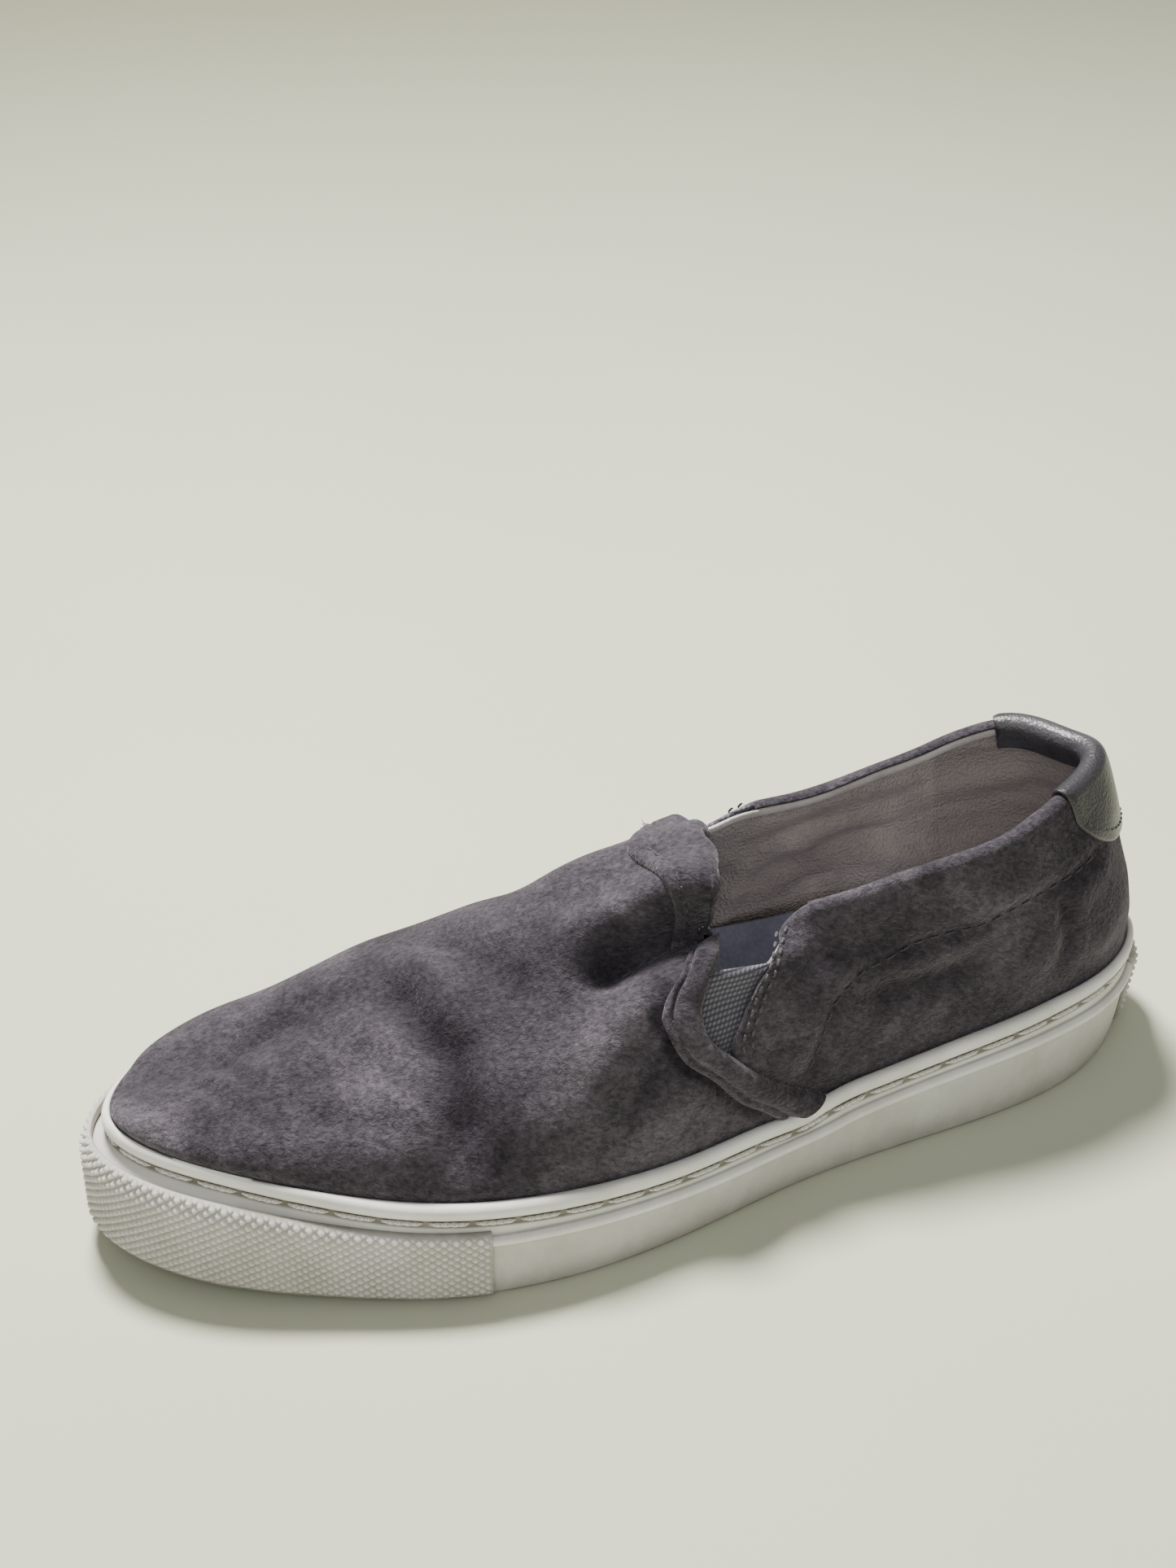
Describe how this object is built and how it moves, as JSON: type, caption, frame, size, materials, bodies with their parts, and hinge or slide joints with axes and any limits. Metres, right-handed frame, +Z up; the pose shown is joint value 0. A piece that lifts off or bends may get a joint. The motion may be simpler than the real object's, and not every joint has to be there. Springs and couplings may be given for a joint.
{
  "type": "slip-on moccasin shoe",
  "caption": "Left slip-on moccasin in grey velour on a white stitched cup sole, with elastic side gores, leather lining, leather heel tab and knurled bumpers.",
  "frame": {"origin": "on the ground under the middle of the shoe's bounding box", "axes": "+X to the toe, +Y to the outer (lateral) side, +Z up from the ground"},
  "size_m": [0.29, 0.102, 0.0894],
  "materials": {
    "velour": "short brushed velour pile, warm mid grey",
    "white_rubber": "matt off-white moulded rubber, slightly scuffed",
    "white_thread": "thick waxed white thread",
    "grey_thread": "dark grey polyester thread",
    "lining_leather": "soft light grey-taupe lining leather, wrinkled",
    "sock_leather": "blue-grey sock leather",
    "bead_leather": "pale leather edge bead",
    "tab_leather": "dark grey leather with a faint metallic sheen",
    "elastic": "woven grey elastic with fine ribs",
    "foam": "open-cell cushioning foam",
    "stiffener": "thermoformed stiffener sheet",
    "backing_cloth": "cotton backing cloth",
    "fibre_board": "pressed cellulose insole board"
  },
  "bodies": {
    "shoe": {"outsole_inlay": "white_rubber", "cup_sole": "white_rubber", "toe_bumper": "white_rubber", "heel_bumper": "white_rubber", "sole_stitching": "white_thread", "insole_board": "fibre_board", "footbed_foam": "foam", "sock_lining": "sock_leather", "sock_rim": "sock_leather", "toe_puff": "stiffener", "heel_counter": "stiffener", "vamp": "velour", "vamp_backing": "backing_cloth", "vamp_lining": "lining_leather", "facing_lateral": "velour", "facing_medial": "velour", "gore_lateral": "elastic", "gore_medial": "elastic", "quarter_lateral": "velour", "quarter_medial": "velour", "quarter_lining_lateral": "lining_leather", "quarter_lining_medial": "lining_leather", "collar_foam": "foam", "topline_binding": "bead_leather", "heel_tab": "tab_leather", "quarter_stitching": "grey_thread", "gore_stitching": "grey_thread", "facing_stitching": "grey_thread", "tab_stitching": "grey_thread"},
    "throat": {"vamp_throat": "velour", "throat_lining": "lining_leather", "throat_binding": "velour", "throat_stitching": "grey_thread"}
  },
  "joints": [
    {"name": "throat_lift", "type": "hinge", "parent": "shoe", "child": "throat", "pos_m": [0.026, -0.004, 0.073], "axis": [0, 1, 0], "range_deg": [0, 12], "stiffness_Nm_per_rad": 0.6, "deforming": ["gore_lateral", "gore_medial"]}
  ]
}
